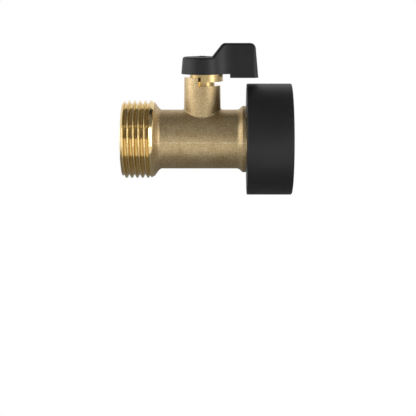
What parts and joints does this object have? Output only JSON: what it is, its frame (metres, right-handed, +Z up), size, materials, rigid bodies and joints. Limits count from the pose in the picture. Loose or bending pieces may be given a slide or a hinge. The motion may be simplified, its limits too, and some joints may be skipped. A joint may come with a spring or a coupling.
{
  "type": "water butt tap",
  "caption": "Quarter-turn brass ball tap for a water butt, with a male pipe thread, a stem boss with a black plastic lever, and a black plastic swivel nut at its outlet.",
  "frame": {"origin": "centre of the inlet end face, on the pipe axis", "axes": "+X along the pipe towards the outlet, +Z up along the stem towards the lever"},
  "size_m": [0.0573, 0.0378, 0.0516],
  "materials": {
    "cast_brass": "shot-blasted casting with machined ends",
    "turned_brass": "machined, bright",
    "chromed_brass": "polished",
    "black_plastic": "moulded, semi-gloss",
    "seat_plastic": "smooth",
    "black_rubber": "matt",
    "spring_steel": "bright",
    "black_steel": "black zinc"
  },
  "bodies": {
    "housing": {"valve_body": "cast_brass", "seat_retainer": "turned_brass", "retainer_seal": "black_rubber", "inlet_seat": "seat_plastic", "outlet_seat": "seat_plastic", "inlet_backing_ring": "black_rubber", "outlet_backing_ring": "black_rubber", "nut_ring": "spring_steel", "nut_washer": "seat_plastic"},
    "spindle": {"ball": "chromed_brass", "stem": "turned_brass", "stem_seal_lower": "black_rubber", "stem_seal_upper": "black_rubber", "stem_clip": "spring_steel", "stem_washer": "seat_plastic", "stop_plate": "turned_brass", "lever": "black_plastic", "lever_screw": "black_steel"},
    "nut": {"swivel_nut": "black_plastic", "hose_washer": "black_rubber"}
  },
  "joints": [
    {"name": "lever_turn", "type": "hinge", "parent": "housing", "child": "spindle", "pos_m": [0.027, 0, 0.0223], "axis": [0, 0, 1], "range_deg": [0, 90]},
    {"name": "nut_turn", "type": "hinge", "parent": "housing", "child": "nut", "pos_m": [0.042, 0, 0], "axis": [1, 0, 0], "continuous": true}
  ]
}
